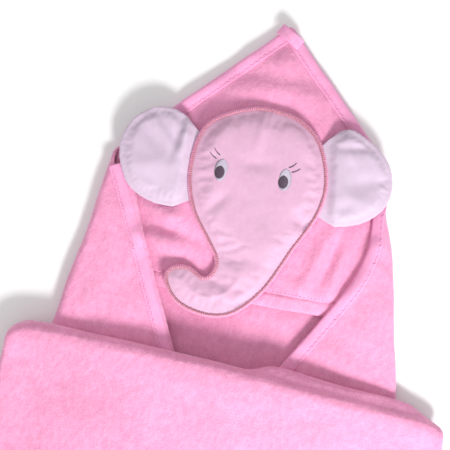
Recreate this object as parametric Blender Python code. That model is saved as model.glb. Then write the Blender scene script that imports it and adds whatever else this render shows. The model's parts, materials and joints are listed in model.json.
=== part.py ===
"""Hooded baby towel, folded in for carrying, with an elephant face sewn on its hood.

A square of thick towelling lies with its hood corner towards +Y. Both side corners are folded in over the
front, and the lower half is folded up over them. Lengths are in millimetres and become metres in add().
The origin is on the table under the middle of the folded towel, and +Z is up.
"""

import math

import bmesh
import bpy
from mathutils import Matrix, Vector

# Cloth and trimmings
CLOTH = 3.0  # towelling with its pile
TAPE = 0.8  # one layer of the edge binding
TAPE_WIDTH = 12.0
FELT = 0.9  # smooth face fabric of the head and ears
GAP = 0.3  # air left between two pieces that touch

# The folded towel, seen from above
PACK_LENGTH = 598.0  # hood tip to bottom fold
LEFT_TOP, LEFT_FOOT = -133.5, -209.0  # left fold, where it leaves the hood's leg and at the bottom
RIGHT_TOP, RIGHT_FOOT = 108.0, 212.0
LEFT_FLAP_REACH = -51.0  # where each flap's bound edge crosses the line FLAP_CROSSING below the tip
RIGHT_FLAP_REACH = 40.0
FLAP_CROSSING = 307.0
RIGHT_BEND = (102.0, 204.0)  # the right flap's edge bends here: across, and down from the tip

# The hood
HOOD_DEPTH = 250.0  # tip to front edge
BAND = 13.0  # hem along the front edge
HOOD_RISE = 7.7  # room for the head between the back and the hood
HOOD_SOFTNESS = 15.0  # how far from a held edge the hood takes to rise
LEG_MARGIN = TAPE_WIDTH + 1.0  # the hood lies flat this near its bound legs
FLAP_MARGIN = 4.0  # and this near the edge of a flap that lies on it

# The folded-up lower half
CREST_DOWN = 301.0  # hood tip to the crest, at the left, just clear of the trunk
CREST_DROP = 25.0  # how much nearer the bottom fold the crest is at the right
LOFT = 4.7  # spare height inside the fold, which the cloth fills with air
CORNER = 194.0  # half-width at the crest
TURNED_IN = 225.0  # how far each side of the lower half is turned in, at its bottom
TURNED_IN_DEPTH = 57.0
TUCKED_REACH = 195.0  # how far the towel's bottom corner is tucked back under the crest
HINGE_ROOM = 8.0  # the cloth's turn at the bottom fold stops this far short of the back

# The elephant
HEAD_HEIGHT = 192.0
HEAD_DOWN = 172.0  # tip of the hood to the head's centre
HEAD_ACROSS = -6.0
HEAD_WADDING = 3.6
HEAD_EDGE = 3.0  # overlocked edge
EAR_HEIGHT = 86.0
EAR_WADDING = 2.2
EAR_ROOM = 2.0  # between the head's edge and an ear
WADDING_MARGIN = 4.0
EYE_WIDTH, EYE_HEIGHT = 12.0, 19.0
PUPIL_WIDTH, PUPIL_HEIGHT = 9.0, 11.0
PUPIL_OFFSET = (-1.0, -2.2)  # each pupil sits low in its white
THREAD = 0.6  # thickness of satin stitching
LASH = 1.0

TIP_TAIL_LENGTH, TIP_TAIL_WIDTH = 24.0, 11.0

FOLD_REACH = PACK_LENGTH - CREST_DOWN  # bottom fold to the crest, at the left
FOOT_Y = -PACK_LENGTH / 2
TIP_Y = PACK_LENGTH / 2 - (TAPE + GAP) * math.sqrt(2)  # the towel's corner, inside its binding

# Heights of the layers, from the table up
BACK_TOP = CLOTH
HOOD_LOW = BACK_TOP + GAP
RIGHT_PLY = HOOD_LOW + CLOTH + GAP
LEFT_PLY = RIGHT_PLY + CLOTH + TAPE + 2 * GAP + GAP
TUCKED_PLY = LEFT_PLY + CLOTH + TAPE + 2 * GAP
LEFT_RETURN = TUCKED_PLY + CLOTH + LOFT
RIGHT_RETURN = LEFT_RETURN + CLOTH + TAPE
COVER_PLY = RIGHT_RETURN + CLOTH + TAPE
PACK_HEIGHT = COVER_PLY + CLOTH
HEAD_LOW = max(HOOD_LOW + HOOD_RISE + CLOTH, LEFT_PLY + CLOTH + TAPE + GAP) + GAP
EAR_TOP = HEAD_LOW + 2 * FELT + EAR_WADDING + 2 * GAP
HEAD_TOP = HEAD_LOW + 2 * FELT + HEAD_WADDING + 2 * GAP

ARC_STEPS = 8
HEAD_DRAWN, EAR_DRAWN = 192.0, 86.0  # heights at which the outlines below are given

EYES = {"left": (-32, 33), "right": (24, 34.5)}  # centres of the eye whites, on the drawn head

# Outlines, counterclockwise. The head's is round its centre, an ear's goes out from the hinge line's middle.
HEAD_OUTLINE = [
    (12, 94), (-12, 94), (-42, 81), (-57, 63), (-61, 28), (-52, -5), (-34, -30), (-23, -47),
    (-29, -61), (-44, -54), (-58, -56), (-65, -65), (-60, -79), (-46, -91), (-21, -96),
    (3, -89), (26, -63), (44, -24), (59, 7), (63, 38), (51, 72), (31, 89),
]
LEFT_EAR_OUTLINE = [
    (0, 36), (-9, 44), (-26, 48), (-43, 42), (-55, 29), (-61, 12), (-59, -5), (-50, -23),
    (-37, -33), (-20, -38), (0, -38),
]
RIGHT_EAR_OUTLINE = [
    (0, -37), (16, -36), (33, -31), (47, -20), (54, -4), (52, 17), (43, 31), (29, 43), (14, 50),
    (0, 44),
]

PINK = (0.78, 0.36, 0.52)
PINK_SHADE = (0.72, 0.30, 0.46)
TAPE_PINK = (0.80, 0.38, 0.54)
FACE_PINK = (0.74, 0.46, 0.62)
EDGE_PINK = (0.72, 0.30, 0.36)
EAR_WHITE = (0.80, 0.74, 0.82)
WADDING_WHITE = (0.9, 0.9, 0.9)
PLUM = (0.10, 0.07, 0.10)


# ---------------------------------------------------------------- tools

def material(name, colour, roughness):
    made = bpy.data.materials.new(name)
    made.use_nodes = True
    shader = made.node_tree.nodes["Principled BSDF"]
    shader.inputs["Base Color"].default_value = (*colour, 1.0)
    shader.inputs["Roughness"].default_value = roughness
    shader.inputs["Metallic"].default_value = 0.0
    return made


def add(name, bm, finish, pivot=(0, 0, 0), smooth=False):
    """Turns a bmesh in millimetres into the object `name` in metres, with its origin on `pivot`."""
    bmesh.ops.recalc_face_normals(bm, faces=bm.faces)
    bmesh.ops.translate(bm, vec=-Vector(pivot), verts=bm.verts)
    bmesh.ops.scale(bm, vec=(0.001, 0.001, 0.001), verts=bm.verts)
    mesh = bpy.data.meshes.new(name)
    bm.to_mesh(mesh)
    bm.free()
    if smooth:
        mesh.shade_smooth()
        mesh.set_sharp_from_angle(angle=math.radians(40))
    mesh.materials.append(finish)
    made = bpy.data.objects.new(name, mesh)
    made.location = Vector(pivot) * 0.001
    bpy.context.scene.collection.objects.link(made)
    return made


def plate(outline, bottom, top):
    """A flat slab with the plan `outline`."""
    bm = bmesh.new()
    face = bm.faces.new([bm.verts.new((x, y, bottom)) for x, y in outline])
    lifted = bmesh.ops.extrude_face_region(bm, geom=[face])
    corners = [v for v in lifted["geom"] if isinstance(v, bmesh.types.BMVert)]
    bmesh.ops.translate(bm, vec=(0, 0, top - bottom), verts=corners)
    bmesh.ops.recalc_face_normals(bm, faces=bm.faces)
    return bm


def cut_at(bm, point, normal):
    geometry = bm.verts[:] + bm.edges[:] + bm.faces[:]
    bmesh.ops.bisect_plane(bm, geom=geometry, plane_co=point, plane_no=normal, dist=1e-5)


def fold(bm, origin, away, axis_height, turn=math.pi, steps=ARC_STEPS):
    """Folds the cloth beyond the line through `origin` round an axis at `axis_height`, keeping its length.

    `away` points, in plan, from the line to the part that folds. The cloth folds up where the axis is above
    it and down where the axis is below it.
    """
    away = Vector(away).normalized()
    middle = sum(v.co.z for v in bm.verts) / len(bm.verts)
    radius = abs(axis_height - middle)
    for step in range(steps + 1):
        spot = Vector(origin) + away * radius * turn * step / steps
        cut_at(bm, (spot.x, spot.y, 0), (away.x, away.y, 0))
    for v in bm.verts:
        beyond = (v.co.xy - Vector(origin)).dot(away)
        if beyond <= 0:
            continue
        angle = min(beyond / radius, turn)
        rest = max(beyond - radius * turn, 0)
        arm = axis_height - v.co.z
        side = math.copysign(1, arm)
        moved = abs(arm) * math.sin(angle) + rest * math.cos(angle)
        v.co.xy += away * (moved - beyond)
        v.co.z = axis_height - arm * math.cos(angle) + side * rest * math.sin(angle)


def turned(vector):
    """The plan vector a quarter turn to the left."""
    return Vector((-vector[1], vector[0]))


def smooth_line(points, closed, per_span=3):
    """A Catmull-Rom curve through the points."""
    count = len(points)
    line = []
    for i in range(count if closed else count - 1):
        ends = (i - 1, i, i + 1, i + 2)
        if closed:
            near = [Vector(points[k % count]) for k in ends]
        else:
            near = [Vector(points[min(max(k, 0), count - 1)]) for k in ends]
        for step in range(per_span):
            t = step / per_span
            line.append(0.5 * (
                2 * near[1] + (near[2] - near[0]) * t
                + (2 * near[0] - 5 * near[1] + 4 * near[2] - near[3]) * t * t
                + (3 * near[1] - near[0] - 3 * near[2] + near[3]) * t * t * t
            ))
    return line if closed else line + [Vector(points[-1])]


def inset(outline, distance):
    """A counterclockwise outline moved inwards, with mitred corners."""
    moved = []
    for i, point in enumerate(outline):
        before = turned((point - outline[i - 1]).normalized())
        after = turned((outline[(i + 1) % len(outline)] - point).normalized())
        moved.append(point + (before + after) * distance / (1 + before.dot(after)))
    return moved


def ring(outer, inner, bottom, top):
    """A closed band between two outlines with the same number of points."""
    bm = bmesh.new()
    loops = [
        [bm.verts.new((p.x, p.y, z)) for p in line]
        for line, z in ((outer, bottom), (outer, top), (inner, top), (inner, bottom))
    ]
    for near, far in zip(loops, loops[1:] + loops[:1]):
        for i in range(len(near)):
            bm.faces.new((near[i - 1], near[i], far[i], far[i - 1]))
    return bm


def sweep(path, section):
    """Sweeps a closed section along a plan path, mitred at its bends.

    A section point is (distance to the left of the path, height).
    """
    bm = bmesh.new()
    rows = []
    for i, point in enumerate(path):
        before = (path[i] - path[i - 1]).normalized() if i else (path[1] - path[0]).normalized()
        after = (path[i + 1] - path[i]).normalized() if i < len(path) - 1 else before
        lean = (turned(before) + turned(after)) / (1 + before.dot(after))
        rows.append([bm.verts.new((*(point + lean * a), z)) for a, z in section])
    for near, far in zip(rows, rows[1:]):
        for k in range(len(section)):
            bm.faces.new((near[k - 1], near[k], far[k], far[k - 1]))
    bm.faces.new(rows[0])
    bm.faces.new(rows[-1])
    return bm


def tape_section(low, high):
    """The binding folded round a cloth edge: two legs and the turn between them, open towards the cloth."""
    outer = -(TAPE + GAP)
    return [
        (outer, low), (TAPE_WIDTH, low), (TAPE_WIDTH, low + TAPE), (-GAP, low + TAPE),
        (-GAP, high - TAPE), (TAPE_WIDTH, high - TAPE), (TAPE_WIDTH, high), (outer, high),
    ]


def recess(target, path, low):
    """Takes the room for the binding's lower leg out of the cloth above it."""
    edge = TAPE + 2 * GAP
    section = [(-edge, low - edge), (TAPE_WIDTH + GAP, low - edge), (TAPE_WIDTH + GAP, low + TAPE + GAP),
               (-edge, low + TAPE + GAP)]
    cutter = add(target.name + "_recess", sweep(path, section), target.data.materials[0])
    cutter.hide_render = True
    cutter.display_type = "WIRE"
    cut = target.modifiers.new("Binding recess", "BOOLEAN")
    cut.operation = "DIFFERENCE"
    cut.solver = "EXACT"
    cut.object = cutter


def crossing(point, direction, other, other_direction):
    """Where two plan lines meet."""
    direction, other_direction = Vector(direction), Vector(other_direction)
    across = turned(other_direction)
    return Vector(point) + direction * (Vector(other) - Vector(point)).dot(across) / direction.dot(across)


# ---------------------------------------------------------------- plan of the folds

def fold_line(top, foot):
    """A side fold: its upper end on the hood's leg, and its lower end on the bottom fold."""
    return Vector((top, TIP_Y - abs(top))), Vector((foot, FOOT_Y))


LEFT_LINE = fold_line(LEFT_TOP, LEFT_FOOT)
RIGHT_LINE = fold_line(RIGHT_TOP, RIGHT_FOOT)
TURN_Y = FOOT_Y + PACK_HEIGHT / 2  # where the cloth starts to turn up at the bottom fold
CUT_Y = TURN_Y + HINGE_ROOM
HINGE_Y = TURN_Y - math.pi * (PACK_HEIGHT / 2 - CLOTH / 2) / 2
HINGE_Z = PACK_HEIGHT / 2


def left_edge():
    """The left flap's bound edge, from the hood's leg to its lower end."""
    top = LEFT_LINE[0]
    reach = Vector((LEFT_FLAP_REACH, TIP_Y - FLAP_CROSSING))
    return [top, crossing(top, reach - top, (0, CUT_Y), (1, 0))]


def right_edge():
    bend = Vector((RIGHT_BEND[0], TIP_Y - RIGHT_BEND[1]))
    reach = Vector((RIGHT_FLAP_REACH, TIP_Y - FLAP_CROSSING))
    return [RIGHT_LINE[0], bend, crossing(bend, reach - bend, (0, CUT_Y), (1, 0))]


def held_lines():
    """Where the hood starts to rise: plan lines along its legs and the flaps' edges, as (point, way to rise)."""
    leg = LEG_MARGIN * math.sqrt(2)
    lines = [(Vector((0, TIP_Y - leg)), Vector((x, -1)).normalized()) for x in (-1, 1)]
    for edge, side in ((left_edge(), 1), (right_edge(), -1)):
        for near, far in zip(edge, edge[1:]):
            inward = turned((far - near).normalized()) * side
            lines.append((near + inward * FLAP_MARGIN, inward))
    return lines


def hood_height(x, y):
    """Height of the hood's underside: held down at its legs and under the flaps, and raised between them."""
    room = max(min((Vector((x, y)) - point).dot(inward) for point, inward in held_lines()), 0)
    return HOOD_LOW + HOOD_RISE * (1 - math.exp(-room / HOOD_SOFTNESS))


# ---------------------------------------------------------------- the towel

def back_panel():
    left, right = LEFT_LINE, RIGHT_LINE
    outline = [
        Vector((0, TIP_Y)), left[0], crossing(left[0], left[1] - left[0], (0, CUT_Y), (1, 0)),
        crossing(right[0], right[1] - right[0], (0, CUT_Y), (1, 0)), right[0],
    ]
    made = add("back_panel", plate(outline, 0, BACK_TOP), TOWELLING)
    recess(made, leg_path(), 0)


def leg_path():
    """The hood's two bound legs, from the right fold over the tip to the left one, stopping short of both."""
    short = TAPE_WIDTH / 2
    down = Vector((-1, -1)).normalized()
    return [
        RIGHT_LINE[0] + Vector((-1, 1)).normalized() * short,
        Vector((0, TIP_Y)),
        LEFT_LINE[0] - down * short,
    ]


def turn_in(line, edge, low, axis):
    """A side of the towel, turned in at the plan fold `line` round an axis at height `axis`.

    The cloth starts flat at height `low`, outside the line. `edge` is its free edge once it is turned in, from
    the line's upper end to the cut above the bottom fold.
    """
    along = (line[1] - line[0]).normalized()
    away = turned(along) * math.copysign(1, turned(along).x * line[1].x)
    arc = math.pi * abs(axis - low - CLOTH / 2)
    foot = crossing(line[0], along, (0, CUT_Y), (1, 0))

    def flat(point):
        """A point of the turned-in cloth, back where it was before the fold."""
        inside = -(point - line[0]).dot(away)
        return point + away * (2 * inside + arc)

    start = line[0] + along * GAP * 2
    outline = [start + away * GAP, start + away * arc] + [flat(p) for p in edge[1:]]
    outline += [foot + away * arc, foot + away * GAP]
    bm = plate(outline, low, low + CLOTH)
    fold(bm, line[0], away, axis)
    return bm


def flap(name, line, edge, ply):
    """A side corner of the towel, turned up at its fold and laid back over the front at height `ply`."""
    return add(name, turn_in(line, edge, 0, (ply + CLOTH) / 2), TOWELLING, smooth=True)


def flap_binding(name, target, edge, ply, side):
    """The binding along a flap's edge, from a little below the hood's leg."""
    path = [p.copy() for p in edge]
    path[0] += (path[1] - path[0]).normalized() * TAPE_WIDTH
    path[-1] -= (path[-1] - path[-2]).normalized() * TAPE_WIDTH
    if side < 0:
        path.reverse()
    recess(target, path, ply)
    add(name, sweep(path, tape_section(ply, ply + CLOTH + TAPE + GAP)), BINDING)


def hood():
    front = TIP_Y - HOOD_DEPTH
    margin = 2 * GAP

    def across(line, y):
        return crossing(line[0], line[1] - line[0], (0, y), (1, 0)).x

    def sheet(name, low, high, rows, finish):
        """The part of the hood between two distances from its front edge, curved by hood_height()."""
        outline = [
            (across(LEFT_LINE, low) + margin, low), (across(RIGHT_LINE, low) - margin, low),
            (min(across(RIGHT_LINE, high) - margin, TIP_Y - high), high),
        ]
        if high > RIGHT_LINE[0].y:
            leg = TIP_Y - margin * 2
            outline[2:] = [
                (across(RIGHT_LINE, RIGHT_LINE[0].y - margin * 3) - margin, RIGHT_LINE[0].y - margin * 3),
                (0, leg),
                (across(LEFT_LINE, LEFT_LINE[0].y - margin * 3) + margin, LEFT_LINE[0].y - margin * 3),
            ]
        else:
            outline.append((across(LEFT_LINE, high) + margin, high))
        bm = plate(outline, 0, CLOTH)
        for i in range(-8, 9):
            cut_at(bm, (i * 16.0, 0, 0), (1, 0, 0))
        for i in range(1, rows):
            cut_at(bm, (0, low + (high - low) * i / rows, 0), (0, 1, 0))
        for point, inward in held_lines():
            cut_at(bm, (*point, 0), (*inward, 0))
        bmesh.ops.triangulate(bm, faces=bm.faces)
        for v in bm.verts:
            v.co.z += hood_height(v.co.x, v.co.y)
        add(name, bm, finish, smooth=True)

    sheet("hood_panel", front + BAND + GAP, TIP_Y, 12, TOWELLING)
    sheet("hood_front_band", front, front + BAND, 1, SHADED)
    high = HOOD_LOW + CLOTH + GAP + TAPE
    add("hood_binding", sweep(leg_path(), tape_section(0, high)), BINDING)


def tip_tail():
    """The loose end of the binding, looped over the hood's tip."""
    low = HOOD_LOW + CLOTH + 2 * GAP + TAPE
    half = TIP_TAIL_LENGTH / 2
    bm = plate([(-half, 0), (half, 0), (half, TIP_TAIL_WIDTH), (-half, TIP_TAIL_WIDTH)], low, low + 2 * TAPE)
    for step in range(1, ARC_STEPS):
        cut_at(bm, (-half + TIP_TAIL_LENGTH * step / ARC_STEPS, 0, 0), (1, 0, 0))
    for v in bm.verts:
        v.co.z += TAPE_WIDTH / 3 * math.cos(math.pi / 2 * v.co.x / half)
    bmesh.ops.rotate(bm, cent=(0, 0, 0), matrix=Matrix.Rotation(-math.pi / 6, 3, "Z"), verts=bm.verts)
    bmesh.ops.translate(bm, vec=(-2, TIP_Y - TIP_TAIL_WIDTH - 5, 0), verts=bm.verts)
    add("hood_tip_tail", bm, BINDING, smooth=True)


# ---------------------------------------------------------------- the folded-up lower half

def crest_line():
    """The crest of the fold, at its left and right ends."""
    return Vector((-CORNER, FOOT_Y + FOLD_REACH)), Vector((CORNER, FOOT_Y + FOLD_REACH - CREST_DROP))


def lower_fold():
    left, right = crest_line()
    along = (right - left).normalized()
    up = turned(along)
    axis = (PACK_HEIGHT + TUCKED_PLY) / 2
    outer = PACK_HEIGHT - axis
    arc = math.pi * (outer - CLOTH / 2)
    side = (PACK_HEIGHT - LEFT_RETURN) / 2
    start_left, start_right = left - up * outer, right - up * outer
    rim = side + GAP
    foot_arc = math.pi * (PACK_HEIGHT / 2 - CLOTH / 2)
    middle = (start_left + start_right) / 2
    tucked = middle + up * (arc + TUCKED_REACH)
    base = CORNER - rim - 2 * TAPE_WIDTH
    outline = [
        Vector((LEFT_FOOT + rim, TURN_Y - foot_arc)), Vector((RIGHT_FOOT - rim, TURN_Y - foot_arc)),
        Vector((RIGHT_FOOT - rim, TURN_Y)), start_right - along * rim,
        start_right - along * rim + up * arc, middle + along * base + up * arc, tucked,
        middle - along * base + up * arc, start_left + along * rim + up * arc, start_left + along * rim,
        Vector((LEFT_FOOT + rim, TURN_Y)),
    ]
    bm = plate(outline, COVER_PLY, PACK_HEIGHT)
    fold(bm, start_left, up, axis)
    fold_foot(bm)
    add("lower_fold_cover", bm, TOWELLING, pivot=(0, HINGE_Y, HINGE_Z), smooth=True)
    for name, foot, top, height in (
        ("lower_left_flap", LEFT_FOOT, start_left, LEFT_RETURN),
        ("lower_right_flap", RIGHT_FOOT, start_right, RIGHT_RETURN),
    ):
        lower_flap(name, foot, top, height)


def fold_foot(bm):
    """Turns the cover's lower end down round the bottom fold, to the table."""
    radius = PACK_HEIGHT / 2 - CLOTH / 2
    for step in range(ARC_STEPS + 1):
        cut_at(bm, (0, TURN_Y - math.pi * radius * step / ARC_STEPS, 0), (0, 1, 0))
    for v in bm.verts:
        beyond = TURN_Y - v.co.y
        if beyond <= 0:
            continue
        angle = beyond / radius
        arm = v.co.z - HINGE_Z
        v.co.y = TURN_Y - arm * math.sin(angle)
        v.co.z = HINGE_Z + arm * math.cos(angle)


def lower_flap(name, foot, top, height):
    """The side of the lower half, turned in under the cover."""
    axis = (PACK_HEIGHT + height) / 2
    shift = math.copysign(PACK_HEIGHT - axis, foot)
    line = [Vector((top.x - shift, top.y)), Vector((foot - shift, CUT_Y))]
    corner = Vector((foot - math.copysign(TURNED_IN, foot), CUT_Y + TURNED_IN_DEPTH))
    narrow = line[0] - Vector((math.copysign(TAPE_WIDTH * 3, foot), TAPE_WIDTH))
    bm = turn_in(line, [line[0], narrow, corner, Vector((corner.x, CUT_Y))], COVER_PLY, axis)
    add(name, bm, TOWELLING, pivot=(0, HINGE_Y, HINGE_Z), smooth=True)


# ---------------------------------------------------------------- the elephant

HEAD_SCALE = HEAD_HEIGHT / HEAD_DRAWN
EAR_SCALE = EAR_HEIGHT / EAR_DRAWN
HEAD_CENTRE = Vector((HEAD_ACROSS, TIP_Y - HEAD_DOWN))


def on_head(x, y):
    return HEAD_CENTRE + Vector((x, y)) * HEAD_SCALE


def head():
    outline = smooth_line([on_head(x, y) for x, y in HEAD_OUTLINE], closed=True)
    inner = inset(outline, HEAD_EDGE)
    face = inset(outline, HEAD_EDGE + GAP)
    core = inset(outline, HEAD_EDGE + WADDING_MARGIN)
    add("head_edge", ring(outline, inner, HEAD_LOW, HEAD_TOP), EDGING)
    stack(face, core, "head", HEAD_LOW, HEAD_WADDING, FACE, (0, 0, 0))


def stack(face, core, name, low, wadding, finish, pivot):
    """A padded shape: its back, its wadding and its front, one above the other."""
    middle = low + FELT + GAP
    high = middle + wadding + GAP
    add(name + "_back", plate(face, low, low + FELT), finish, pivot)
    add(name + "_wadding", plate(core, middle, middle + wadding), WADDING, pivot)
    add(name + "_front", plate(face, high, high + FELT), finish, pivot)


def ear_hinge(side):
    """The line where an ear is sewn under the head's edge, from its lower to its upper end."""
    if side < 0:
        spot, lean = on_head(-61 - EAR_ROOM, 32), Vector((0.0, 1.0))
    else:
        spot, lean = on_head(63 + EAR_ROOM, 38), Vector((-0.132, 0.991))
    return spot, lean.normalized()


def ear(name, side, drawn):
    spot, along = ear_hinge(side)
    out = Vector((along.y, -along.x))
    curve = smooth_line([spot + (out * x + along * y) * EAR_SCALE for x, y in drawn], closed=False)
    pivot = (spot.x, spot.y, EAR_TOP)
    core = inset(curve, WADDING_MARGIN)
    stack(curve, core, name, HEAD_LOW, EAR_WADDING, EAR, pivot)


def ellipse(centre, width, height, points=20):
    turns = (2 * math.pi * i / points for i in range(points))
    return [centre + Vector((width / 2 * math.cos(a), height / 2 * math.sin(a))) for a in turns]


def eyes():
    low = HEAD_TOP + GAP
    for name, spot in EYES.items():
        white = on_head(*spot)
        add(name + "_eye_white", plate(ellipse(white, EYE_WIDTH, EYE_HEIGHT), low, low + THREAD), EAR)
        above = low + THREAD + GAP
        oval = ellipse(white + Vector(PUPIL_OFFSET), PUPIL_WIDTH, PUPIL_HEIGHT)
        add(name + "_pupil", plate(oval, above, above + THREAD), PLUM_THREAD)


def lashes():
    """Two lashes over each eye, set out from the crown of its white."""
    for name, root, lip in (
        ("left_lash_outer", (-6, -0.5), (-12, 4.5)),
        ("left_lash_inner", (-3.5, 3), (-8.5, 8.5)),
        ("right_lash_inner", (2, 1.5), (7, 7)),
        ("right_lash_outer", (5, -2), (11, 2.5)),
    ):
        crown = on_head(*EYES[name.split("_")[0]]) + Vector((0, EYE_HEIGHT / 2))
        near, far = crown + Vector(root), crown + Vector(lip)
        sag = turned((far - near).normalized()) * math.copysign(LASH, near.x - HEAD_ACROSS)
        points = [near.lerp(far, t) - sag * math.sin(math.pi * t) for t in (0, 0.25, 0.5, 0.75, 1)]
        curve = bpy.data.curves.new(name, "CURVE")
        curve.dimensions = "3D"
        curve.bevel_depth = LASH / 2 * 0.001
        curve.bevel_resolution = 1
        curve.resolution_u = 1
        curve.render_resolution_u = 0
        curve.use_fill_caps = True
        spline = curve.splines.new("POLY")
        spline.points.add(len(points) - 1)
        height = HEAD_TOP + GAP + LASH / 2
        for spot, p in zip(spline.points, points):
            spot.co = (p.x * 0.001, p.y * 0.001, height * 0.001, 1)
        curve.materials.append(PLUM_THREAD)
        bpy.context.scene.collection.objects.link(bpy.data.objects.new(name, curve))


for leftover in list(bpy.data.objects):
    bpy.data.objects.remove(leftover, do_unlink=True)

TOWELLING = material("Pink towelling", PINK, 0.95)
SHADED = material("Hood hem", PINK_SHADE, 0.95)
BINDING = material("Edge binding", TAPE_PINK, 0.85)
FACE = material("Face fabric", FACE_PINK, 0.7)
EDGING = material("Overlock thread", EDGE_PINK, 0.6)
EAR = material("White ear fabric", EAR_WHITE, 0.7)
WADDING = material("Wadding", WADDING_WHITE, 1.0)
PLUM_THREAD = material("Plum embroidery thread", PLUM, 0.5)

back_panel()
flap_binding("left_flap_binding", flap("left_flap", LEFT_LINE, left_edge(), LEFT_PLY),
             left_edge(), LEFT_PLY, -1)
flap_binding("right_flap_binding", flap("right_flap", RIGHT_LINE, right_edge(), RIGHT_PLY),
             right_edge(), RIGHT_PLY, 1)
hood()
tip_tail()
lower_fold()
head()
ear("left_ear", -1, [(x, y) for x, y in LEFT_EAR_OUTLINE])
ear("right_ear", 1, RIGHT_EAR_OUTLINE)
eyes()
lashes()
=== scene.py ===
"""Hooded baby towel: the cloth, trimmings, padded elephant face and stage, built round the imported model.

Lengths inside the makers are in millimetres; publish() turns a finished mesh into metres.
"""

import json
import math

import bmesh
import bpy
from bpy.props import FloatProperty, FloatVectorProperty, PointerProperty
from mathutils import Matrix, Vector, bvhtree, kdtree, noise


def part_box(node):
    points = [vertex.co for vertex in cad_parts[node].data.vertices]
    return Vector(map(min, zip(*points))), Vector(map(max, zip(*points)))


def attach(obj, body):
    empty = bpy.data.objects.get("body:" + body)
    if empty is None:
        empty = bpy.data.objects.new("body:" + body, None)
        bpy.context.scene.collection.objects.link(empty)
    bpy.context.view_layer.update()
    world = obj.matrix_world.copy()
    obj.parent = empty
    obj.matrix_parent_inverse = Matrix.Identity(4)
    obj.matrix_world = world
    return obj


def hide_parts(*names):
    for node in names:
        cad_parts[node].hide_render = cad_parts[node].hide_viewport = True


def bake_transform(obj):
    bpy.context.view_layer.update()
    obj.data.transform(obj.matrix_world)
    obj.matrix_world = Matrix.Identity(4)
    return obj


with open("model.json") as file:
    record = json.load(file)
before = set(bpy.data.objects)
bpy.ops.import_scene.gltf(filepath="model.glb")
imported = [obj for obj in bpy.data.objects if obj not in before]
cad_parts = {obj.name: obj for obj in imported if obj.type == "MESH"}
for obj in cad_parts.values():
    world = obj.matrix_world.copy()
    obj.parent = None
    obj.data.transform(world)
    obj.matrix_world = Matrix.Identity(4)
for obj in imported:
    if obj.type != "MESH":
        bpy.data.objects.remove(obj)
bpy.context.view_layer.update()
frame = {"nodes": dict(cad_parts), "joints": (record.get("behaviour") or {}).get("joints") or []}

bl_info = {
    "name": "Hooded baby towel",
    "version": (1, 0, 0),
    "blender": (4, 5, 0),
    "location": "View3D > Sidebar > Towel",
    "description": "Folded hooded towel with a padded elephant face, its stitching and a studio stage",
    "category": "Add Mesh",
}

METRE = 1000.0
BODY, LOWER = "towel", "lower_fold"


def node_box(name):
    """A CAD node's lowest and highest corners, in millimetres."""
    low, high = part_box(name)
    return Vector(low) * METRE, Vector(high) * METRE


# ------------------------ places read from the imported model

BACK_LOW, BACK_HIGH = node_box("back_panel")
COVER_LOW, COVER_HIGH = node_box("lower_fold_cover")
LEFT_FLAP_HIGH = node_box("left_flap")[1]
RIGHT_FLAP_LOW, RIGHT_FLAP_HIGH = node_box("right_flap")
HEAD_LOW, HEAD_HIGH = node_box("head_edge")
HOOD_BOX_LOW, HOOD_BOX_HIGH = node_box("hood_front_band")
LEG_HIGH = node_box("hood_binding")[1]
TAIL_LOW, TAIL_HIGH = node_box("hood_tip_tail")
EAR_BOXES = [node_box("left_ear_front"), node_box("right_ear_front")]

CLOTH = BACK_HIGH.z
TIP_Y, CUT_Y, FOOT_Y = BACK_HIGH.y, BACK_LOW.y, COVER_LOW.y
PACK_HIGH = COVER_HIGH.z
TURN_Y = FOOT_Y + PACK_HIGH / 2
CREST_Y = COVER_HIGH.y
LEFT_PLY = node_box("left_flap_binding")[0].z
RIGHT_PLY = node_box("right_flap_binding")[0].z
TUCKED_PLY = HEAD_LOW.z + CLOTH / 2 - 1.0
HOOD_FRONT = HOOD_BOX_LOW.y
BAND_WIDTH = HOOD_BOX_HIGH.y - HOOD_FRONT
HOOD_LOW = HOOD_BOX_LOW.z
HEAD_CENTRE = Vector(((HEAD_LOW.x + HEAD_HIGH.x) / 2, (HEAD_LOW.y + HEAD_HIGH.y) / 2))
SQUARE = 800.0  # side of the cut towel
HALF_DIAGONAL = SQUARE / math.sqrt(2)
TAPE, TAPE_WIDTH = 0.8, 12.0
STITCH_IN = 2.6  # from the tape's inner rim to its stitches
RIPPLE, RIPPLE_SIZE = 0.35, 7.0  # height and spacing of the tape's ripples
JOIN_WIDTH, JOIN_HEIGHT = 5.0, 1.6  # the bunch where two tapes meet
RIGHT_BEND = Vector((102.0, TIP_Y - 204.0))  # where the right flap's bound edge turns in
CREST_FALL, CREST_BOW = 12.5, 6.5  # how much lower the crest lies at its middle than at its left, and its bow
HOOD_SOFTNESS = 15.0  # how far from a held edge the hood takes to rise
FLAP_MARGIN = 4.0  # the hood lies flat this near the edge of a flap
EAR_CAUGHT = 13.0  # width of an ear's margin under the head
PIPE_RADIUS = 1.5
LOOP_STEP, LOOP_LENGTH = 1.9, 3.6  # the overlock loops round the head
SWELL_STEPS, SWELL_PRESSURE = 16, 4


def on_leg(y, side):
    """The point of the hood's leg at that height."""
    return Vector((side * (TIP_Y - y), y))


LEFT_FOLD = (on_leg(LEFT_FLAP_HIGH.y + 0.6, -1), Vector((BACK_LOW.x, CUT_Y)))
RIGHT_FOLD = (on_leg(RIGHT_FLAP_HIGH.y + 0.6, 1), Vector((BACK_HIGH.x, CUT_Y)))
LEFT_EDGE_FOOT = Vector((LEFT_FLAP_HIGH.x, CUT_Y))
RIGHT_EDGE_FOOT = Vector((RIGHT_FLAP_LOW.x, CUT_Y))


# ------------------------ small sums

def turned(vector):
    """The plan vector a quarter turn to the left."""
    return Vector((-vector[1], vector[0]))


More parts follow.
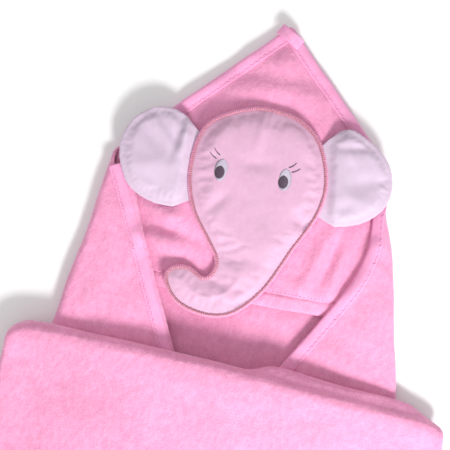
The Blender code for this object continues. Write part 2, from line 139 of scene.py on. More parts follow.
def ease(low, high, value):
    """0 at low, 1 at high, and a smooth step between them."""
    t = min(max((value - low) / (high - low), 0), 1)
    return t * t * (3 - 2 * t)


def bell(distance, width):
    """1 at no distance, fading away within about two widths."""
    return math.exp(-(distance / width) ** 2)


def middle_of(points):
    return sum(points, Vector((0, 0))) / len(points)


def on_line(line, y):
    """The x of a plan line at that y."""
    near, far = line
    return near.x + (far.x - near.x) * (y - near.y) / (far.y - near.y)


def left_edge_x(y):
    return on_line((LEFT_FOLD[0], LEFT_EDGE_FOOT), y)


def right_edge_x(y):
    """The right flap's bound edge: nearly upright down to its bend, then running in, the bend rounded."""
    softness = 7.0
    upper = on_line((RIGHT_FOLD[0], RIGHT_BEND), y)
    lower = on_line((RIGHT_BEND, RIGHT_EDGE_FOOT), y)
    least = min(upper, lower)
    spread = math.exp((least - upper) / softness) + math.exp((least - lower) / softness)
    return least - softness * math.log(spread)


def crest_y(x):
    """The crest of the folded-up half: level at the left, falling to the right, a little bowed."""
    half = COVER_HIGH.x
    return CREST_Y - CREST_FALL * (1 + x / half) + CREST_BOW * (1 - (x / half) ** 2)


def bump_between(low, high, fade, value):
    return ease(low, low + fade, value) * (1 - ease(high - fade, high, value))


# Soft ridges in the upper cloth: from, to, half-width, height
RIDGES = [
    ((-104, 122), (-40, 101), 8, 7.0), ((-100, 90), (-36, 85), 6, 6.5), ((-102, 107), (-42, 93), 5, -6.0),
    ((-98, 72), (-72, 70), 5, -2.0), ((-108, 128), (-92, 104), 5, -3.0), ((-88, 100), (-70, 112), 4, 2.0),
    ((-40, 236), (40, 236), 7, 2.4), ((-34, 248), (30, 251), 5, -1.2), ((-26, 262), (18, 266), 8, 2.2),
    ((66, 122), (52, 72), 6, 6.0), ((86, 122), (76, 70), 5, 5.2), ((76, 118), (64, 70), 4, -4.5),
    ((94, 126), (88, 78), 5, -4.0), ((30, 72), (60, 66), 6, 2.4), ((46, 84), (58, 60), 4, -1.6),
    ((112, 142), (108, 96), 8, 4.5), ((106, 92), (88, 62), 7, 3.0),
    ((74, 210), (46, 232), 7, 2.2), ((-90, 214), (-50, 236), 8, 1.8),
    ((108, 128), (124, 108), 4, 2.2), ((104, 108), (126, 90), 4, 2.0), ((110, 84), (130, 50), 7, 2.0),
    ((-132, 120), (-122, 70), 7, 1.8), ((-110, 60), (-140, 10), 10, 2.0), ((-96, 30), (-120, -10), 9, 1.6),
    ((70, 20), (120, 0), 9, 1.8), ((90, 46), (128, 30), 8, 1.6),
    ((-50, 10), (30, 24), 9, 1.4), ((-30, 36), (20, 30), 7, 1.0),
]
# The same in the folded-up half
LOWER_RIDGES = [
    ((-180, -60), (-60, -110), 16, 2.0), ((-20, -70), (110, -60), 18, 2.2),
    ((60, -120), (180, -170), 20, 2.4), ((-170, -180), (-30, -210), 22, 2.0),
    ((-100, -30), (60, -40), 10, 1.6), ((120, -50), (186, -90), 12, 1.8),
    ((-150, -100), (-100, -230), 16, 1.6), ((20, -150), (40, -260), 18, 1.6),
]


def ridge_height(ridges, x, y):
    total = 0.0
    spot = Vector((x, y))
    for near, far, width, height in ridges:
        near, far = Vector(near), Vector(far)
        along = far - near
        t = min(max((spot - near).dot(along) / along.length_squared, 0), 1)
        distance = (spot - near - along * t).length
        if distance < width * 3:
            total += height * bell(distance, width) * (0.55 + 0.45 * math.sin(math.pi * t))
    return total


def waviness(x, y, size, seed):
    return noise.noise(Vector((x / size, y / size, seed)))


def under_head(x, y):
    """1 well inside the head's outline, 0 outside it."""
    across = (x - HEAD_CENTRE.x) / (HEAD_HIGH.x - HEAD_LOW.x) * 2
    up = (y - HEAD_CENTRE.y) / (HEAD_HIGH.y - HEAD_LOW.y) * 2
    return 1 - ease(0.8, 1.15, math.hypot(across, up))


def under_ears(x, y):
    """1 under either ear, 0 clear of both."""
    return max(
        bump_between(low.x - 12, high.x + 4, 12, x) * bump_between(low.y - 10, high.y + 10, 12, y)
        for low, high in EAR_BOXES)


def lift_at(x, y):
    """How far the upper cloth rises at a spot in its ridges and waves."""
    lift = ridge_height(RIDGES, x, y) + 1.1 * (waviness(x, y, 46, 1.0) + 0.6) + 0.35 * waviness(x, y, 17, 5.0)
    calm = (1 - 0.75 * under_head(x, y)) * (1 - 0.8 * under_ears(x, y))
    lift *= calm * (0.1 + 0.9 * ease(crest_y(x) - 14, crest_y(x) + 6, y))
    return max(lift, 0.5 * (HOOD_LOW - hood_height(x, y)))


def sway_at(x, y):
    """How far the side folds wander sideways, and the right one draws in towards its ear."""
    sway = 2.2 * waviness(0, y, 60, 9.0) + 1.0 * waviness(3, y, 21, 4.0)
    return sway * ease(112, 150, abs(x)) - 5 * ease(112, 150, y) * ease(92, 112, x)


def settle(bm):
    """Lets the upper cloth lie as real cloth does: ridges and waves above the back, and wandering folds."""
    for v in bm.verts:
        x, y, z = v.co
        v.co.z += lift_at(x, y) * ease(CLOTH * 0.7, CLOTH * 1.6, z)
        v.co.x += sway_at(x, y)
    return bm


# ------------------------ making and finishing pieces

def all_of(bm):
    return bm.verts[:] + bm.edges[:] + bm.faces[:]


def cut_at(bm, point, normal, **clear):
    bmesh.ops.bisect_plane(bm, geom=all_of(bm), plane_co=point, plane_no=normal, dist=1e-4, **clear)


def cut_sheet(outline, step, height):
    """One layer of cloth cut to a convex plan outline, given counterclockwise."""
    xs, ys = [p[0] for p in outline], [p[1] for p in outline]
    width, depth = max(xs) - min(xs), max(ys) - min(ys)
    bm = bmesh.new()
    bmesh.ops.create_grid(
        bm, x_segments=math.ceil(width / step), y_segments=math.ceil(depth / step), size=0.5)
    bmesh.ops.scale(bm, vec=(width, depth, 1), verts=bm.verts)
    middle = Vector(((max(xs) + min(xs)) / 2, (max(ys) + min(ys)) / 2, height))
    bmesh.ops.translate(bm, vec=middle, verts=bm.verts)
    for i, (x, y) in enumerate(outline):
        before = outline[i - 1]
        cut_at(bm, (x, y, 0), (y - before[1], before[0] - x, 0), clear_outer=True)
    return bm


def fold(bm, origin, away, height, axis_height, steps=8):
    """Folds the cloth that lies at height back over itself beyond a plan line, keeping its length."""
    origin, away, turn = Vector(origin), Vector(away).normalized(), math.pi
    radius = abs(axis_height - height)
    for step in range(steps + 1):
        spot = origin + away * radius * turn * step / steps
        cut_at(bm, (spot.x, spot.y, 0), (away.x, away.y, 0))
    for v in bm.verts:
        beyond = (v.co.xy - origin).dot(away)
        if beyond <= 0:
            continue
        arm = axis_height - v.co.z
        reach = abs(arm)
        angle = min(beyond / radius, turn)
        rest = max(beyond - radius * turn, 0)
        side = math.copysign(1, arm)
        moved = reach * math.sin(angle) + rest * math.cos(angle)
        v.co.xy += away * (moved - beyond)
        v.co.z = axis_height - arm * math.cos(angle) + side * rest * math.sin(angle)


def flat_area(bm):
    """The cloth's area in square metres, taken before it is rumpled."""
    return sum(face.calc_area() for face in bm.faces) / METRE ** 2


def mesh_of(name, bm):
    mesh = bpy.data.meshes.new(name)
    bm.to_mesh(mesh)
    bm.free()
    return mesh


def placed(name, data):
    """A new object in the scene, for a mesh, light or camera."""
    made = bpy.data.objects.new(name, data)
    bpy.context.scene.collection.objects.link(made)
    return made


def publish(name, bm, material, smooth=True):
    """A finished piece: its mesh in metres, at the origin."""
    bmesh.ops.recalc_face_normals(bm, faces=bm.faces)
    bmesh.ops.scale(bm, vec=(1 / METRE,) * 3, verts=bm.verts)
    mesh = mesh_of(name, bm)
    if smooth:
        mesh.shade_smooth()
    mesh.materials.append(material)
    return placed(name, mesh)


def soften(piece):
    rounding = piece.modifiers.new("Soften", "SUBSURF")
    rounding.levels = rounding.render_levels = 1


def thicken(piece, thickness):
    """Gives a single layer its thickness, half on each side, and rounds it."""
    solid = piece.modifiers.new("Cloth thickness", "SOLIDIFY")
    solid.thickness = thickness / METRE
    solid.offset = 0
    soften(piece)


def sweep(path, section, closed=False):
    """Sweeps a closed section, given as (left of the path, height), along plan points."""
    bm = bmesh.new()
    count = len(path)
    rows = []
    for i, point in enumerate(path):
        if closed:
            before, after = point - path[i - 1], path[(i + 1) % count] - point
        else:
            before = point - path[i - 1] if i else path[1] - point
            after = path[i + 1] - point if i < count - 1 else before
        before, after = before.normalized(), after.normalized()
        lean = (turned(before) + turned(after)) / (1 + before.dot(after))
        rows.append([bm.verts.new((*(point + lean * a), z)) for a, z in section])
    pairs = list(zip(rows, rows[1:])) + ([(rows[-1], rows[0])] if closed else [])
    for near, far in pairs:
        for k in range(len(section)):
            bm.faces.new((near[k - 1], near[k], far[k], far[k - 1]))
    if not closed:
        bm.faces.new(rows[0])
        bm.faces.new(rows[-1])
    return bm


def stitch(bm, centre, along, length, radius, rise=0.0):
    """One stitch of thread: a small spindle lying along a plan direction, tipped up by rise."""
    across = Vector((along[0], along[1], rise)).normalized()
    place = Matrix.Translation(centre) @ across.to_track_quat("X", "Z").to_matrix().to_4x4()
    place = place @ Matrix.Diagonal((length / 2, radius, radius, 1))
    bmesh.ops.create_uvsphere(bm, u_segments=6, v_segments=4, radius=1, matrix=place)


def spaced(path, step, closed=False):
    """Points along a plan path at equal steps, each with the path's direction there."""
    ends = path + path[:1] if closed else path
    total = sum((b - a).length for a, b in zip(ends, ends[1:]))
    count = max(int(total / step), 1)
    out, travelled, k = [], 0.0, 0
    for i in range(count):
        target = total * (i + 0.5) / count
        while k < len(ends) - 2 and travelled + (ends[k + 1] - ends[k]).length < target:
            travelled += (ends[k + 1] - ends[k]).length
            k += 1
        direction = (ends[k + 1] - ends[k]).normalized()
        out.append((ends[k] + direction * (target - travelled), direction))
    return out


def plan_of(name):
    """The counterclockwise plan outline of a flat CAD node."""
    bm = bmesh.new()
    bm.from_mesh(frame["nodes"][name].data)
    bmesh.ops.remove_doubles(bm, verts=bm.verts, dist=1e-6)
    bmesh.ops.recalc_face_normals(bm, faces=bm.faces)
    top = {f for f in bm.faces if f.normal.z > 0.9}
    rim = [e for e in bm.edges if sum(f in top for f in e.link_faces) == 1]
    onward = {}
    for edge in rim:
        face = next(f for f in edge.link_faces if f in top)
        loop = next(c for c in edge.link_loops if c.face == face)
        onward[loop.vert] = loop.link_loop_next.vert
    start = next(iter(onward))
    line, spot = [start], onward[start]
    while spot != start:
        line.append(spot)
        spot = onward[spot]
    points = [v.co.xy * METRE for v in line]
    bm.free()
    return points


def offset(outline, distance):
    """A counterclockwise outline moved outwards."""
    moved = []
    for i, point in enumerate(outline):
        before = turned((point - outline[i - 1]).normalized())
        after = turned((outline[(i + 1) % len(outline)] - point).normalized())
        moved.append(point - (before + after) * distance / (1 + before.dot(after)))
    return moved


def hood_height(x, y):
    """The hood's underside: held at its legs and under the flaps, and raised between them."""
    rooms = [((TIP_Y - y) - abs(x)) / math.sqrt(2) - TAPE_WIDTH - 1]
    rooms.append((x - left_edge_x(y)) * 0.9 - FLAP_MARGIN)
    rooms.append((right_edge_x(y) - x) * 0.86 - FLAP_MARGIN)
    room = max(min(rooms), 0)
    rise = HOOD_BOX_HIGH.z - CLOTH - HOOD_LOW + 0.4
    return HOOD_LOW + rise * (1 - math.exp(-room / HOOD_SOFTNESS))


# ------------------------ finishes

def nodes_of(name):
    """A new material, with its nodes, links, shader and Object coordinates."""
    made = bpy.data.materials.new(name)
    made.use_nodes = True
    nodes = made.node_tree.nodes
    where = nodes.new("ShaderNodeTexCoord").outputs["Object"]
    return made, nodes, made.node_tree.links, nodes["Principled BSDF"], where


def preset(node, **values):
    """Sets a node's inputs, whose names are given with _ for a space."""
    for name, value in values.items():
        node.inputs[name.replace("_", " ")].default_value = value


def noise_node(nodes, links, where, scale, detail=3.0, stretch=None):
    """A noise over Object coordinates; scale is in waves a metre."""
    made = nodes.new("ShaderNodeTexNoise")
    preset(made, Scale=scale, Detail=detail)
    if stretch:
        mapping = nodes.new("ShaderNodeMapping")
        preset(mapping, Scale=stretch)
        links.new(where, mapping.inputs["Vector"])
        where = mapping.outputs["Vector"]
    links.new(where, made.inputs["Vector"])
    return made.outputs["Fac"]


def ramp_node(nodes, links, value, stops):
    made = nodes.new("ShaderNodeValToRGB")
    ramp = made.color_ramp
    while len(ramp.elements) < len(stops):
        ramp.elements.new(0.5)
    for element, (place, colour) in zip(ramp.elements, stops):
        element.position = place
        element.color = (*colour, 1)
    links.new(value, made.inputs["Fac"])
    return made.outputs["Color"]


def multiplied(nodes, links, share, first, second):
    made = nodes.new("ShaderNodeMix")
    made.data_type = "RGBA"
    made.blend_type = "MULTIPLY"
    preset(made, Factor=share)
    links.new(first, made.inputs[6])  # the node's colour inputs A and B, and its colour output
    links.new(second, made.inputs[7])
    return made.outputs[2]


def bumped(nodes, links, height, strength, distance, onto=None):
    made = nodes.new("ShaderNodeBump")
    preset(made, Strength=strength, Distance=distance)
    links.new(height, made.inputs["Height"])
    if onto:
        links.new(onto, made.inputs["Normal"])
    return made.outputs["Normal"]


def shaded(colour, amount):
    return tuple(c * amount for c in colour)


def cloth_finish(name, colour, roughness, sheen, pile, mottle, nap, weave=0.0):
    """A cloth: cloudy colour, a brushed or woven surface with painted pile shade in darker brushed bands, and
    a sheen.
    pile is the grain's size in metres, and nap, 0 to 1, how brushed it looks and how strong that painted
    shade is."""
    made, nodes, links, shader, where = nodes_of(name)
    cloud = noise_node(nodes, links, where, 26, 4)
    brush = noise_node(nodes, links, where, 190, 5, (1.0, 0.7, 1.0))
    grain = noise_node(nodes, links, where, 1 / pile, 3)
    low, high = shaded(colour, 1 - mottle), tuple(min(c * (1 + mottle * 0.7), 1) for c in colour)
    base = ramp_node(nodes, links, cloud, [(0.3, low), (0.7, high)])
    # darker bands along the brushing: painted shade of the pile's direction, mixed in more for a stronger nap
    painted_pile_shade = ramp_node(nodes, links, brush, [(0.35, (0.92, 0.84, 0.88)), (0.65, (1, 1, 1))])
    fleck = ramp_node(nodes, links, grain, [(0.3, (0.82, 0.70, 0.77)), (0.62, (1, 1, 1))])
    tint = multiplied(nodes, links, 0.3 + 0.5 * nap, base, painted_pile_shade)
    tint = multiplied(nodes, links, 0.3 + 0.35 * nap, tint, fleck)
    links.new(tint, shader.inputs["Base Color"])
    normal = bumped(nodes, links, brush, 0.1 + 0.6 * nap, 0.0016)
    normal = bumped(nodes, links, grain, 0.5, pile * 0.6, normal)
    if weave:
        for turn in ("X", "Y"):
            wave = nodes.new("ShaderNodeTexWave")
            wave.bands_direction = turn
            preset(wave, Scale=0.314 / weave, Distortion=0.6)
            links.new(where, wave.inputs["Vector"])
            normal = bumped(nodes, links, wave.outputs["Fac"], 0.25, weave * 0.3, normal)
    links.new(normal, shader.inputs["Normal"])
    preset(
        shader, Roughness=roughness, Sheen_Weight=sheen, Sheen_Roughness=0.45,
        Sheen_Tint=(1.0, 0.86, 0.95, 1), Specular_IOR_Level=0.2)
    return made


def thread_finish(name, colour, spread, gloss):
    """Embroidery or sewing thread: twisted plies and a soft shine."""
    made, nodes, links, shader, where = nodes_of(name)
    patch = noise_node(nodes, links, where, 420, 3)
    base = ramp_node(nodes, links, patch, [(0.3, shaded(colour, 1 - spread)), (0.7, colour)])
    links.new(base, shader.inputs["Base Color"])
    twist = noise_node(nodes, links, where, 2600, 2, (1.0, 1.0, 3.0))
    links.new(bumped(nodes, links, twist, 0.5, 0.0002), shader.inputs["Normal"])
    preset(shader, Roughness=gloss, Sheen_Weight=0.3, Specular_IOR_Level=0.4)
    return made


FINISHES = {}


def finish(name):
    """The named material, made when it is first asked for."""
    if not FINISHES:
        c = bpy.context.scene.towel_colours
        FINISHES.update(
            towelling=cloth_finish("Pink velour", tuple(c.towelling), 0.95, 0.55, 0.0011, 0.09, 1.0),
            tape=cloth_finish("Binding tape", tuple(c.tape), 0.85, 0.35, 0.0006, 0.04, 0.3, 0.0009),
            face=cloth_finish("Face plush", tuple(c.face), 0.8, 0.35, 0.0007, 0.035, 0.15),
            ear=cloth_finish("Ear cotton", tuple(c.ear), 0.8, 0.25, 0.0005, 0.03, 0.0, 0.0006),
            edging=thread_finish("Salmon overlock thread", tuple(c.edging), 0.25, 0.5),
            sewing=thread_finish("Pink sewing thread", tuple(c.sewing), 0.15, 0.55),
            white=thread_finish("White satin stitch", tuple(c.white), 0.08, 0.4),
            plum=thread_finish("Plum satin stitch", tuple(c.plum), 0.3, 0.4),
        )
    return FINISHES[name]


# ------------------------ the cloth

FLAT = CLOTH / 2  # height of the middle of the back's cloth
RIGHT_MID = RIGHT_PLY + CLOTH / 2
LEFT_MID = LEFT_PLY + CLOTH / 2
SIDE_AT_CREST, SIDE_SPREAD = 190.0, 0.055  # half-width of the folded-up half at y 0, and how fast it widens


def cell():
    """The size of the cloth's faces, in millimetres."""
    return bpy.context.scene.towel_cloth.cell * METRE


def edge_line(line, side):
    """Outward direction of a side fold line."""
    return turned((line[1] - line[0]).normalized()) * side


def draw_in(bm, line, side, edge_x, high):
    """Draws a folded flap's cloth, which lies at high, sideways until its bound edge is where it is held."""
    along = (line[1] - line[0]).normalized()
    leg = Vector((side, -1)).normalized()
    natural = along * 2 * leg.dot(along) - leg
    used = edge_line(line, side) * math.pi * (high - FLAT) / 2
    for v in bm.verts:
        x, y, z = v.co
        fold_x = on_line(line, y)
        if abs(z - high) < 0.5 and (fold_x - x) * side > 0:
            natural_x = line[0].x + used.x + natural.x * (y - line[0].y - used.y) / natural.y
            share = (fold_x - edge_x(y)) / (side * max((fold_x - natural_x) * side, 1))
            v.co.x = fold_x - (fold_x - x) * min(max(share, 0.3), 4)


def make_wrap():
    """The back and the two side flaps: one cloth, folded in along both sides."""
    top, half = TIP_Y - TAPE * 2, HALF_DIAGONAL - TAPE * 2
    low = half - (top - half - CUT_Y)
    outline = [(0, top), (-half, top - half), (-low, CUT_Y), (low, CUT_Y), (half, top - half)]
    bm = cut_sheet(outline, cell(), FLAT)
    for line, side, ply, edge_x in (
            (RIGHT_FOLD, 1, RIGHT_MID, lambda y: right_edge_x(y) + TAPE * 2),
            (LEFT_FOLD, -1, LEFT_MID, lambda y: left_edge_x(y) - TAPE * 2)):
        inward = edge_line(line, -side) * (ply - FLAT) / 2
        line = (line[0] + inward, line[1] + inward)
        fold(bm, line[0], edge_line(line, side), FLAT, (FLAT + ply) / 2)
        draw_in(bm, line, side, edge_x, ply)
    cut_at(bm, (0, CUT_Y, 0), (0, -1, 0), clear_outer=True)
    area = flat_area(bm)
    piece = publish("velour_wrap", settle(bm), finish("towelling"))
    thicken(piece, CLOTH)
    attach(piece, BODY)
    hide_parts("back_panel", "left_flap", "right_flap")


def pressed(x, y):
    """How far the folded-up half sinks: most at its sides and foot, where only its folds hold it."""
    side = ease(70, COVER_HIGH.x, abs(x + 4))
    foot = ease(FOOT_Y + 120, FOOT_Y, y)
    return 12 * max(side, foot * 0.9)


def settle_lower(bm):
    """Rounds the folded-up half's corners, bows its crest and lets its cloth ripple."""
    crest_mid = crest_y(0)
    wide = COVER_HIGH.x
    for v in bm.verts:
        x, y, z = v.co
        height = ease(PACK_HIGH * 0.35, PACK_HIGH * 0.74, z)
        v.co.z -= pressed(x, y) * height
        up = ease(CREST_Y - 150, CREST_Y, y)
        v.co.y += up * (crest_y(x) - (CREST_Y - CREST_FALL * (1 + x / wide)))
        corner = ease(wide - 34, wide, abs(x)) * ease(CREST_Y - 60, CREST_Y - 5, y)
        v.co.y -= 13 * corner ** 1.5
        foot = ease(wide - 30, wide, abs(x)) * ease(FOOT_Y + 40, FOOT_Y, y)
        v.co.y += 10 * foot ** 1.5
        v.co.x += (2.4 * waviness(0, y, 55, 7.0) + 1.0 * waviness(2, y, 19, 3.0)) * ease(120, 190, abs(x))
        v.co.y += 1.6 * waviness(x, 0, 60, 6.0) * ease(CREST_Y - 60, CREST_Y - 10, y)
        top = ease(PACK_HIGH * 0.6, PACK_HIGH * 0.9, z)
        lift = ridge_height(LOWER_RIDGES, x, y) + 1.5 * waviness(x, y, 70, 8.0)
        lift += 0.4 * waviness(x, y, 20, 2.0) + 2.4 * bell(y - crest_mid + 14 + 0.06 * x, 16)
        v.co.z += lift * top
        inner = 1 - ease(PACK_HIGH * 0.65, PACK_HIGH * 0.82, z)
        lip = bump_between(14, 186, 26, x) * ease(CREST_Y - 60, CREST_Y - 14, y)
        v.co.y += 9 * lip * inner * ease(PACK_HIGH * 0.3, PACK_HIGH * 0.45, z)
    return bm


def make_lower_fold():
    """The folded-up half: turned up at the foot, turned in at both sides and tucked over at its crest."""
    cover = PACK_HIGH - CLOTH / 2
    axis = PACK_HIGH / 2
    turn = math.pi * (cover - axis)
    hidden = TURN_Y - (CUT_Y - TURN_Y) - turn
    tip = hidden + (CUT_Y - TIP_Y + 2 * HALF_DIAGONAL)
    half = tip - hidden
    bm = cut_sheet([(0, tip), (-half, hidden), (half, hidden)], cell(), cover)
    area = flat_area(bm)
    fold(bm, (SIDE_AT_CREST, 0), (1, SIDE_SPREAD), cover, (cover + PACK_HIGH - RIGHT_MID) / 2)
    fold(bm, (-SIDE_AT_CREST, 0), (-1, SIDE_SPREAD), cover, (cover + PACK_HIGH - LEFT_MID) / 2)
    crest_axis = (cover + TUCKED_PLY) / 2
    crest = Vector((-COVER_HIGH.x, crest_y(-COVER_HIGH.x)))
    away = turned((Vector((COVER_HIGH.x, crest_y(COVER_HIGH.x))) - crest).normalized())
    fold(bm, crest - away * (cover - crest_axis), away, cover, crest_axis)
    fold(bm, (0, TURN_Y), (0, -1), cover, axis, steps=14)
    piece = publish("velour_lower_fold", settle_lower(bm), finish("towelling"))
    thicken(piece, CLOTH)
    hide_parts("lower_fold_cover", "lower_left_flap", "lower_right_flap")
    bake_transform(piece)


def hood_top(x, y):
    """The top of the hood's cloth."""
    return hood_height(x, y) + CLOTH + lift_at(x, y)


def make_hood():
    """The hood: a cloth corner sewn to the back along both legs, raised between them, with a hemmed front."""
    top = TIP_Y - TAPE * 3
    left, right = LEFT_FOLD[0].y, RIGHT_FOLD[0].y
    outline = [
        (0, top), (left - top, left), (on_line(LEFT_FOLD, HOOD_FRONT) + 5, HOOD_FRONT),
        (on_line(RIGHT_FOLD, HOOD_FRONT) - 5, HOOD_FRONT), (top - right, right)]
    bm = cut_sheet(outline, cell() * 0.8, HOOD_LOW + CLOTH / 2)
    area = flat_area(bm)
    seam = HOOD_FRONT + BAND_WIDTH
    for y in (seam - 3, seam - 1.2, seam, seam + 1.2, seam + 3, HOOD_FRONT + 1.5):
        cut_at(bm, (0, y, 0), (0, 1, 0))
    for v in bm.verts:
        x, y, _ = v.co
        v.co.z += hood_height(x, y) - HOOD_LOW
        v.co.z -= 1.1 * bell(y - seam, 1.3)
        v.co.z += 0.8 * bell(y - HOOD_FRONT - BAND_WIDTH / 2, 5)
        v.co.z -= 0.9 * bell(y - HOOD_FRONT, 1.5)
        v.co.y += 1.2 * waviness(x, 0, 30, 2.5) * (1 - ease(HOOD_FRONT, HOOD_FRONT + 30, y))
    piece = publish("velour_hood", settle(bm), finish("towelling"))
    thicken(piece, CLOTH * 0.92)
    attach(piece, BODY)
    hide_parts("hood_panel", "hood_front_band")
    rows = bmesh.new()
    for back in (seam - 2.2, seam + 1.4):
        path = [Vector((left_edge_x(back) - 4 + i * 3, back)) for i in range(60)]
        path = [p for p in path if p.x < right_edge_x(back) + 4]
        for spot, along in spaced(path, 3.4):
            down = 1.0 if back > seam else 0.0
            stitch(rows, (*spot, hood_top(*spot) - 0.1 - down * 0.1), along, 2.4, 0.35)
    sewn = publish("hood_hem_stitches", rows, finish("sewing"))
    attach(sewn, BODY)


# ------------------------ tapes

def tape_section(low, high):
    """A soft C round the cloth's edge, as (in from the edge, height)."""
    middle, half = (low + high) / 2, (high - low) / 2
    outer = [(TAPE_WIDTH, low), (TAPE_WIDTH * 0.55, low - 0.1), (half * 0.9, low)]
    for step in range(1, 6):
        angle = math.pi * step / 6
        outer.append((half * 0.8 * (1 - math.sin(angle)), middle - half * math.cos(angle)))
    outer += [(half * 0.9, high), (TAPE_WIDTH * 0.5, high + 0.3), (TAPE_WIDTH - 3.6, high)]
    outer += [(TAPE_WIDTH - 2.6, high - 0.3), (TAPE_WIDTH - 1.6, high), (TAPE_WIDTH - 0.3, high - 0.1)]
    inner = [(TAPE_WIDTH, high - TAPE), (half, high - TAPE), (TAPE, middle), (half, low + TAPE)]
    return outer + inner


def pucker(bm, amount, seed):
    """Lets a tape ripple slightly along its stitching."""
    for v in bm.verts:
        v.co.z = max(v.co.z + amount * waviness(v.co.x, v.co.y, RIPPLE_SIZE, seed), 0)
        v.co.x += 0.5 * waviness(v.co.x, v.co.y, 16, seed + 1)
        v.co.y += 0.5 * waviness(v.co.x, v.co.y, 16, seed + 2)


def bunched(bm, centre):
    """Gathers the tape where two lengths of it meet."""
    for v in bm.verts:
        distance = (v.co.xy - Vector(centre)).length
        if distance < JOIN_WIDTH * 3:
            v.co.z += JOIN_HEIGHT * bell(distance, JOIN_WIDTH)


def resampled(points, step):
    out = [spot for spot, _ in spaced(points, step)]
    return [points[0]] + out + [points[-1]]


def make_tape(name, path, low, high, node, joins=()):
    """A bound edge with its zigzag stitching. The cloth is on the left of the path."""
    path = resampled(path, 4.0)
    bm = sweep(path, tape_section(low, high))
    pucker(bm, RIPPLE, low)
    for spot in joins:
        bunched(bm, spot)
    if not path[0].x * path[-1].x < 0:
        for v in bm.verts:
            v.co.x = min(max(v.co.x, on_line(LEFT_FOLD, v.co.y) + 1), on_line(RIGHT_FOLD, v.co.y) - 1)
    tape = publish(name, settle(bm), finish("tape"))
    soften(tape)
    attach(tape, BODY)
    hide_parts(node)
    sewn = bmesh.new()
    right_top = RIGHT_FOLD[0].y - 3
    for i, (spot, along) in enumerate(spaced(path, 2.6)):
        inward = turned(along)
        centre = spot + inward * (TAPE_WIDTH - STITCH_IN)
        room = min(centre.x - on_line(LEFT_FOLD, centre.y), on_line(RIGHT_FOLD, centre.y) - centre.x)
        if spot.y < crest_y(spot.x) - 20 or room < 2 and spot.y < right_top:
            continue
        lean = along + inward * (0.95 if i % 2 else -0.95)
        height = high + lift_at(*centre) + RIPPLE * waviness(centre.x, centre.y, RIPPLE_SIZE, low)
        for join in joins:
            height += JOIN_HEIGHT * bell((centre - Vector(join)).length, JOIN_WIDTH)
        centre.x += sway_at(*centre)
        stitch(sewn, (*centre, height), lean, 3.4, 0.34)
    thread = publish(name + "_stitches", sewn, finish("sewing"))
    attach(thread, BODY)


def make_tapes():
    left, right = LEFT_FOLD[0], RIGHT_FOLD[0]
    tip = Vector((0, TIP_Y))
    round_tip = [Vector((3.2, TIP_Y - 2.2)), Vector((0, TIP_Y - 0.8)), Vector((-3.2, TIP_Y - 2.2))]
    legs = resampled([right, tip + Vector((4, -4))], 4) + round_tip
    legs += resampled([tip + Vector((-4, -4)), left], 4)
    make_tape("hood_leg_tape", legs, 0.0, LEG_HIGH.z, "hood_binding", joins=[(0, TIP_Y - 8)])
    for name, edge_x, top, ply, turn, join in (
            ("left", left_edge_x, left.y - 15, LEFT_PLY, 1, (-102, 77)),
            ("right", right_edge_x, right.y - 12, RIGHT_PLY, -1, (106, 116))):
        foot = CUT_Y + TAPE_WIDTH
        path = [Vector((edge_x(y), y)) for y in (foot + (top - foot) * i / 80 for i in range(81))][::turn]
        make_tape(f"{name}_flap_tape", path, ply - 0.5, ply + 4.1, f"{name}_flap_binding", joins=[join])


def make_tail():
    """The loose end of the tape, looped over the hood's tip."""
    low, high = TAIL_LOW.z, TAIL_HIGH.z
    centre = (TAIL_LOW + TAIL_HIGH) / 2
    bm = bmesh.new()
    bmesh.ops.create_grid(bm, x_segments=16, y_segments=8, size=0.5)
    bmesh.ops.scale(bm, vec=(24, 11, 1), verts=bm.verts)
    for v in bm.verts:
        x, y, _ = v.co
        arch = math.cos(math.pi / 2 * x / 12)
        v.co.z = low + 0.7 + (high - low - 1.0) * arch + 0.3 * math.sin(y * 0.9 + x * 0.4)
        v.co.y *= 1 - 0.12 * arch
        v.co.z -= 0.25 * bell(abs(y) - 3.8, 0.7)
    bmesh.ops.rotate(bm, cent=(0, 0, 0), matrix=Matrix.Rotation(-math.pi / 6, 3, "Z"), verts=bm.verts)
    bmesh.ops.translate(bm, vec=(centre.x, centre.y, 0), verts=bm.verts)
    tail = publish("tip_loop", bm, finish("tape"))
    thicken(tail, TAPE * 1.6)
    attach(tail, BODY)
    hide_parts("hood_tip_tail")


# ------------------------ the padded face

def nearest_rim(outline, step=1.0):
    """A search tree of points along an outline."""
    points = [spot for spot, _ in spaced(outline, step, closed=True)]
    tree = kdtree.KDTree(len(points))
    for i, point in enumerate(points):
        tree.insert((*point, 0), i)
    tree.balance()
    return tree


def blank(name, outline, low, high, voxel):
    """A plate of even small faces with a plan outline, ready to be crowned."""
    bm = bmesh.new()
    face = bm.faces.new([bm.verts.new((*point / METRE, low / METRE)) for point in outline])
    raised = bmesh.ops.extrude_face_region(bm, geom=[face])["geom"]
    lifted = [v for v in raised if isinstance(v, bmesh.types.BMVert)]
    bmesh.ops.translate(bm, vec=(0, 0, (high - low) / METRE), verts=lifted)
    bmesh.ops.triangulate(bm, faces=bm.faces)
    bmesh.ops.recalc_face_normals(bm, faces=bm.faces)
    made = placed(name, mesh_of(name, bm))
    remesh = made.modifiers.new("Even faces", "REMESH")
    remesh.mode = "VOXEL"
    remesh.voxel_size = voxel / METRE
    apply_modifier(made, remesh)
    return made


def apply_modifier(made, modifier):
    bpy.context.view_layer.objects.active = made
    bpy.context.view_layer.update()
    with bpy.context.temp_override(object=made, active_object=made, selected_objects=[made]):
        bpy.ops.object.modifier_apply(modifier=modifier.name)


